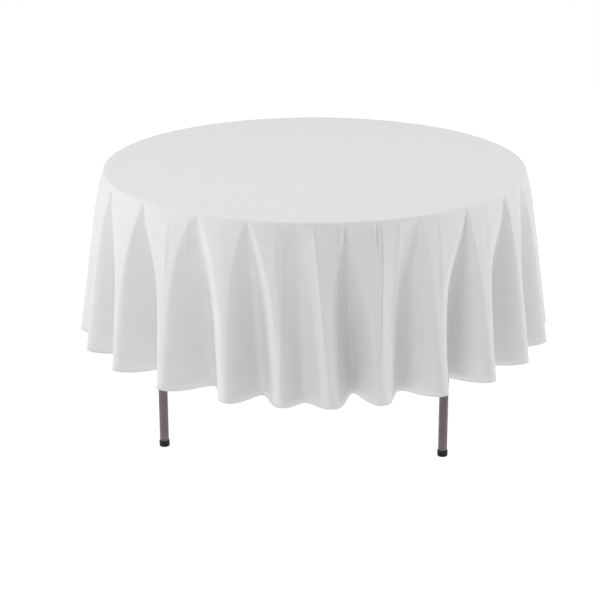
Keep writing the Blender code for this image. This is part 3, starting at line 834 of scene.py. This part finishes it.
def cloth_surface(sizes):
    """Points and flat coordinates of the cloth, ring by ring from the middle to the hem.

    Rings of the top lie level, the next ones follow a circular bend over the rim, and the
    skirt's rows hang from it. Each row falls by the root of its squared slant less its
    squared step outwards.
    """
    top = TABLE_HEIGHT + sizes.rest
    bend = sizes.rim_round
    outer = TABLE_RADIUS + sizes.rest
    turn = np.radians(np.linspace(0, RIM_TURN, BEND_RINGS))
    bend_r = outer - bend + bend * np.sin(turn)
    bend_z = top - bend + bend * np.cos(turn)
    radius0, z0 = bend_r[-1], bend_z[-1]
    bend_run = (outer - bend) + bend * turn
    hem = sizes.flat_diameter / 2 - bend_run[-1]
    share = np.linspace(0, 1, SKIRT_ROWS + 1)[1:]
    slant = hem * (ROW_CROWDING * share ** 2.2 + (1 - ROW_CROWDING) * share)
    azimuth, radius, rim_ridge, spans = hung_folds(slant, radius0, sizes)
    flat_turn = flat_azimuth(azimuth, radius, rim_ridge, spans)
    rows = len(slant)
    azimuth = azimuth[:, :, :-1].reshape(rows, -1)
    radius = radius[:, :, :-1].reshape(rows, -1)
    flat_turn = flat_turn[:, :, :-1].reshape(rows, -1)
    uneven = ripples(azimuth, slant[:, None]) * RIPPLE_HEIGHT
    radius = radius + uneven * smooth_step(*RIPPLES_GROW, slant)[:, None]
    radius = radius + creases(azimuth, slant[:, None] / hem)
    before = np.vstack([np.full(radius.shape[1], radius0), radius[:-1]])
    gap = np.diff(np.append(0.0, slant))[:, None]
    fall = np.sqrt(np.maximum(gap ** 2 - (radius - before) ** 2, (0.5 * gap) ** 2))
    z = z0 - np.cumsum(fall, axis=0)

    disc_r = np.append(np.linspace(0.08, outer - bend - 0.02, 4), [outer - bend - 0.006])
    lie_r = np.concatenate([disc_r, bend_r])
    lie_z = np.concatenate([np.full(len(disc_r), top), bend_z])
    flat_r = np.concatenate([disc_r, bend_run])
    even = azimuth[0][0] + round_turn(azimuth.shape[1])
    hold = smooth_step(0.5, 1.0, lie_r / outer)[:, None]
    lie_turn = even * (1 - hold) + azimuth[0] * hold
    all_turn = np.vstack([lie_turn, azimuth])
    all_r = np.vstack([np.repeat(lie_r[:, None], azimuth.shape[1], 1), radius])
    all_z = np.vstack([np.repeat(lie_z[:, None], azimuth.shape[1], 1), z])
    points = np.stack([all_r * np.cos(all_turn), all_r * np.sin(all_turn), all_z], axis=-1)
    cut_r = np.concatenate([flat_r, bend_run[-1] + slant])[:, None]
    cut_turn = np.vstack([lie_turn, flat_turn])
    uv = np.stack([cut_r * np.cos(cut_turn), cut_r * np.sin(cut_turn)], axis=-1)
    return points, uv


def make_cloth(sizes):
    """The draped cloth as one sheet with the thickness of real cloth."""
    points, uv = cloth_surface(sizes)
    rows, columns = points.shape[:2]
    faces = grid_faces(rows, columns).tolist()
    middle = rows * columns
    here = np.arange(columns)
    faces += np.stack([np.full(columns, middle), here, (here + 1) % columns], 1).tolist()
    top = TABLE_HEIGHT + sizes.rest
    points = np.concatenate([points.reshape(-1, 3), [[0, 0, top]]])
    uv = np.concatenate([uv.reshape(-1, 2), [[0, 0]]])
    cloth = new_piece(
        "tablecloth_drape", points, faces, "white_cloth", "cloth", ["tablecloth"],
        flat_uv=uv,
    )
    wall = cloth.modifiers.new("thickness", "SOLIDIFY")
    wall.thickness = sizes.thickness
    wall.offset = -1.0
    return cloth


# ------------------------------------------------------------------ the table
def make_table_top():
    """The moulded top: a closed turned shell with a deep rounded rim and a parting line."""
    low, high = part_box("table_top")
    r, top, base = high.x, high.z, low.z
    plate = top - 0.022
    rim = 0.022
    edge = 0.005
    lip, fillet = 0.003, 0.004
    parting = 0.0012
    seam = (top + base) / 2
    rings = (0.0, 0.15, 0.35, 0.52)
    profile = [(ring, top) for ring in rings] + [(r - 0.03, top)]
    profile += arc_points((r - edge, top - edge), edge, 90, 0, 8)
    profile += [(r, seam + parting), (r - 0.0005, seam), (r, seam - parting)]
    profile += arc_points((r - edge, base + edge), edge, 0, -90, 6)
    profile += arc_points((r - rim + lip, base + lip), lip, -90, -180, 4)
    profile += arc_points((r - rim - fillet, plate - fillet), fillet, 0, 90, 4)
    profile += [(ring, plate) for ring in reversed(rings)]
    points, faces = lathe(profile[::-1], 192)
    return new_piece(
        "table_top_shell", points, faces, "moulded_top_plastic", "table", ["table_top"],
    )


def tube_between(points, body, name, nodes, axis, centre):
    """Places a pipe made along +Z: turned onto the given axis, then moved to its centre."""
    pts, faces = points
    if axis == "X":
        pts = np.stack([pts[:, 2], pts[:, 1], -pts[:, 0]], axis=1)
    pts = pts + np.array(centre)
    return new_piece(name, pts, faces, "powder_coat", body, nodes)


def make_weld(name, path, radius, body):
    """A painted weld bead along a closed path."""
    points, faces = bead(path, radius)
    return new_piece(name, points, faces, "powder_coat", body, [])


def saddle_gap(radius_other):
    """How far a tube stops short of another's axis, where it's coped to fit round it."""

    def gap(across):
        """Half chord of the other tube's circle at this distance from its middle."""
        return np.sqrt(np.maximum(radius_other ** 2 - across ** 2, 0.0))

    return gap


def make_leg_frame(end):
    """One U-shaped leg frame: pivot tube, two coped legs, a crossbar and weld beads."""
    body = f"{end}_legs"
    pivot_low, pivot_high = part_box(f"{end}_pivot_tube")
    pivot_z = (pivot_low.z + pivot_high.z) / 2
    pivot_y = (pivot_low.y + pivot_high.y) / 2
    pivot_r = (pivot_high.z - pivot_low.z) / 2
    bar_low, bar_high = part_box(f"{end}_crossbar")
    bar_z = (bar_low.z + bar_high.z) / 2
    bar_r = (bar_high.z - bar_low.z) / 2

    def plain(azimuth, radius):
        """Square ends."""
        return np.full(azimuth.shape, pivot_low.x), np.full(azimuth.shape, pivot_high.x)

    tube_between(
        tube_wall(plain, pivot_r), body, f"{end}_pivot_tube_finish",
        [f"{end}_pivot_tube"], "X", (0, pivot_y, pivot_z),
    )
    legs = {}
    for side in SIDES:
        low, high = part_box(f"{end}_leg_{side}")
        x, y = (low.x + high.x) / 2, (low.y + high.y) / 2
        leg_r = (high.x - low.x) / 2
        legs[side] = (x, y, leg_r)
        gap = saddle_gap(pivot_r + COPE_GAP)

        def coped(azimuth, radius, low_z=low.z, gap=gap):
            """A square foot, and a head that fits round the pivot tube."""
            return np.full(azimuth.shape, low_z), pivot_z - gap(radius * np.sin(azimuth))

        tube_between(
            tube_wall(coped, leg_r), body, f"{end}_leg_{side}_tube",
            [f"{end}_leg_{side}"], "Z", (x, y, 0),
        )
        turn = round_turn(72)
        ring = leg_r + WELD_LIFT
        seam_z = pivot_z - np.sqrt(np.maximum(pivot_r ** 2 - (ring * np.sin(turn)) ** 2, 0))
        path = np.stack(
            [x + ring * np.cos(turn), y + ring * np.sin(turn), seam_z - WELD_LIFT], 1
        )
        make_weld(f"{end}_weld_{side}", path, 0.0011, body)

    gap = saddle_gap(legs["left"][2] + COPE_GAP)
    left_x, right_x = legs["left"][0], legs["right"][0]

    def between(azimuth, radius):
        """Both ends fit round the legs."""
        stop = gap(radius * np.sin(azimuth))
        return left_x + stop, right_x - stop

    tube_between(
        tube_wall(between, bar_r), body, f"{end}_crossbar_finish",
        [f"{end}_crossbar"], "X", (0, legs["left"][1], bar_z),
    )
    for side in SIDES:
        x, y, leg_r = legs[side]
        inward = -1 if x > 0 else 1
        turn = round_turn(60)
        ring = bar_r + WELD_LIFT
        reach = WELD_LIFT + np.sqrt(np.maximum(leg_r ** 2 - (ring * np.sin(turn)) ** 2, 0))
        path = np.stack(
            [x + inward * reach, y + ring * np.sin(turn), bar_z + ring * np.cos(turn)], 1
        )
        make_weld(f"{end}_bar_weld_{side}", path[::inward], 0.0010, body)


def make_foot_caps(end):
    """Plastic caps on the feet: rounded soles, a waist groove and a rolled lip."""
    for side in SIDES:
        low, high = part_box(f"{end}_foot_cap_{side}")
        x, y = (low.x + high.x) / 2, (low.y + high.y) / 2
        r, top = (high.x - low.x) / 2, high.z
        sole, lip, groove, floor = 0.0032, 0.0008, 0.0005, 0.005
        bore = r - 0.0016
        profile = [(0.0, 0.0), (0.004, 0.0), (r - sole - 0.001, 0.0)]
        profile += arc_points((r - sole, sole), sole, -90, 0, 7)
        profile += [(r, 0.0080), (r - groove, 0.0088), (r - groove, 0.0096), (r, 0.0104)]
        profile += arc_points((r - lip, top - lip), lip, 0, 110, 5)
        profile += [(bore, top - lip / 2), (bore, top - 0.003), (bore, floor), (0.0, floor)]
        points, faces = lathe(profile, 48)
        points = points + np.array([x, y, 0.0])
        new_piece(
            f"{end}_foot_cap_{side}_finish", points, faces, "black_cap_plastic",
            f"{end}_legs", [f"{end}_foot_cap_{side}"],
        )


def dress_hardware():
    """Gives every CAD node that still shows the finish of its material slot."""
    by_slot = {
        "leg_paint": "powder_coat", "black_plastic": "black_cap_plastic",
        "zinc_steel": "plated_steel", "moulded_top": "moulded_top_plastic",
        "cloth_white": "white_cloth",
    }
    for name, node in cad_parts.items():
        if node.hide_render:
            continue
        slots = [m.name.split(".")[0] for m in node.data.materials if m]
        finish = by_slot.get(slots[0]) if slots else None
        if finish is None:
            raise ValueError(f"{name} has an unknown finish {slots}")
        node.data.materials.clear()
        node.data.materials.append(finish_named(finish))


# ------------------------------------------------------------------ the stage
def soft_light(name, size, power, place, aim):
    """A square area light that looks at a point."""
    data = bpy.data.lights.new(name, "AREA")
    data.size = size
    data.energy = power
    light = placed(name, data)
    light.location = place
    light.rotation_euler = (Vector(aim) - Vector(place)).to_track_quat("-Z", "Y").to_euler()
    return light


def make_floor():
    """A plain pale floor."""
    half = 30.0
    mesh = bpy.data.meshes.new("floor")
    corners = [(-half, -half, 0), (half, -half, 0), (half, half, 0), (-half, half, 0)]
    mesh.from_pydata(corners, [], [(0, 1, 2, 3)])
    floor = placed("floor", mesh)
    material = bpy.data.materials.new("pale_floor")
    material.use_nodes = True
    shader = material.node_tree.nodes["Principled BSDF"]
    set_inputs(
        material.node_tree, shader, Base_Color=(0.25, 0.25, 0.25, 1), Roughness=0.9,
        Specular_IOR_Level=0.1, Emission_Color=(1, 1, 1, 1), Emission_Strength=0.90,
    )
    mesh.materials.append(material)
    return floor


def make_camera(stage):
    """The camera, which looks down at the table from the front."""
    data = bpy.data.cameras.new("camera")
    camera = placed("camera", data)
    data.lens = stage.lens
    data.sensor_width = 36.0
    data.shift_x = stage.camera_shift
    data.clip_end = 200.0
    reach, turn = stage.camera_reach, stage.camera_turn
    height = TABLE_HEIGHT + stage.camera_rise
    camera.location = (reach * math.sin(turn), -reach * math.cos(turn), height)
    camera.rotation_euler = (math.pi / 2 - stage.camera_pitch, 0, turn)
    bpy.context.scene.camera = camera
    return camera


def make_world(strength):
    """An even sky that gives soft light, and looks white where it's seen."""
    world = bpy.data.worlds.new("studio")
    world.use_nodes = True
    tree = world.node_tree
    sky = tree.nodes["Background"]
    seen = tree.nodes.new("ShaderNodeLightPath").outputs["Is Camera Ray"]
    glow = span(tree, seen, 0.0, 1.0, strength, 1.0)
    set_inputs(tree, sky, Color=(1, 1, 1, 1), Strength=glow)
    bpy.context.scene.world = world


# ------------------------------------------------------------------ operators
class OBJECT_OT_mould_table_top(bpy.types.Operator):
    """Makes the moulded table top"""

    bl_idname = "object.mould_table_top"
    bl_label = "Table top"

    def execute(self, context):
        make_table_top()
        return {"FINISHED"}


class OBJECT_OT_weld_leg_frames(bpy.types.Operator):
    """Makes both folding leg frames"""

    bl_idname = "object.weld_leg_frames"
    bl_label = "Leg frames"

    def execute(self, context):
        for end in ENDS:
            make_leg_frame(end)
        return {"FINISHED"}


class OBJECT_OT_fit_foot_caps(bpy.types.Operator):
    """Makes the plastic caps on the feet"""

    bl_idname = "object.fit_foot_caps"
    bl_label = "Foot caps"

    def execute(self, context):
        for end in ENDS:
            make_foot_caps(end)
        return {"FINISHED"}


class OBJECT_OT_drape_cloth(bpy.types.Operator):
    """Drapes the round cloth over the table"""

    bl_idname = "object.drape_cloth"
    bl_label = "Tablecloth"

    def execute(self, context):
        make_cloth(context.scene.cloth_sizes)
        return {"FINISHED"}


class OBJECT_OT_dress_hardware(bpy.types.Operator):
    """Gives rails, braces, pins and screws their finishes"""

    bl_idname = "object.dress_hardware"
    bl_label = "Hardware finishes"

    def execute(self, context):
        dress_hardware()
        return {"FINISHED"}


class SCENE_OT_set_stage(bpy.types.Operator):
    """Sets up the floor, the lights and the camera"""

    bl_idname = "scene.set_table_stage"
    bl_label = "Stage"

    def execute(self, context):
        stage = context.scene.table_stage
        context.scene.view_settings.view_transform = "Standard"
        make_floor()
        make_world(stage.sky)
        for name, width, place, height in LIGHTS:
            soft_light(name, width, getattr(stage, name), place, (0, 0, height))
        make_camera(stage)
        return {"FINISHED"}


class VIEW3D_PT_tablecloth(bpy.types.Panel):
    """Lists the pieces of the table and their settings"""

    bl_label = "Tablecloth"
    bl_idname = "VIEW3D_PT_tablecloth"
    bl_space_type = "VIEW_3D"
    bl_region_type = "UI"
    bl_category = "Tablecloth"

    def draw(self, context):
        layout = self.layout
        groups = (
            (context.scene.cloth_sizes, (OBJECT_OT_drape_cloth,)),
            (
                context.scene.table_finish,
                (OBJECT_OT_mould_table_top, OBJECT_OT_weld_leg_frames,
                 OBJECT_OT_fit_foot_caps, OBJECT_OT_dress_hardware),
            ),
            (context.scene.table_stage, (SCENE_OT_set_stage,)),
        )
        for settings, operators in groups:
            column = layout.column(align=True)
            for label in settings.__annotations__:
                column.prop(settings, label)
            for operator in operators:
                column.operator(operator.bl_idname)


CLASSES = (
    ClothSizes, TableFinish, StageSettings, OBJECT_OT_mould_table_top,
    OBJECT_OT_weld_leg_frames, OBJECT_OT_fit_foot_caps, OBJECT_OT_drape_cloth,
    OBJECT_OT_dress_hardware, SCENE_OT_set_stage, VIEW3D_PT_tablecloth,
)


def register():
    """Registers the classes and hangs their settings on the scene."""
    for cls in CLASSES:
        bpy.utils.register_class(cls)
    bpy.types.Scene.cloth_sizes = PointerProperty(type=ClothSizes)
    bpy.types.Scene.table_finish = PointerProperty(type=TableFinish)
    bpy.types.Scene.table_stage = PointerProperty(type=StageSettings)


def unregister():
    """Takes the settings off the scene and unregisters the classes."""
    del bpy.types.Scene.table_stage
    del bpy.types.Scene.table_finish
    del bpy.types.Scene.cloth_sizes
    for cls in reversed(CLASSES):
        bpy.utils.unregister_class(cls)


def main():
    """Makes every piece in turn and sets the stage."""
    register()
    bpy.ops.object.mould_table_top()
    bpy.ops.object.weld_leg_frames()
    bpy.ops.object.fit_foot_caps()
    bpy.ops.object.drape_cloth()
    bpy.ops.object.dress_hardware()
    bpy.ops.scene.set_table_stage()


if __name__ == "__main__":
    main()
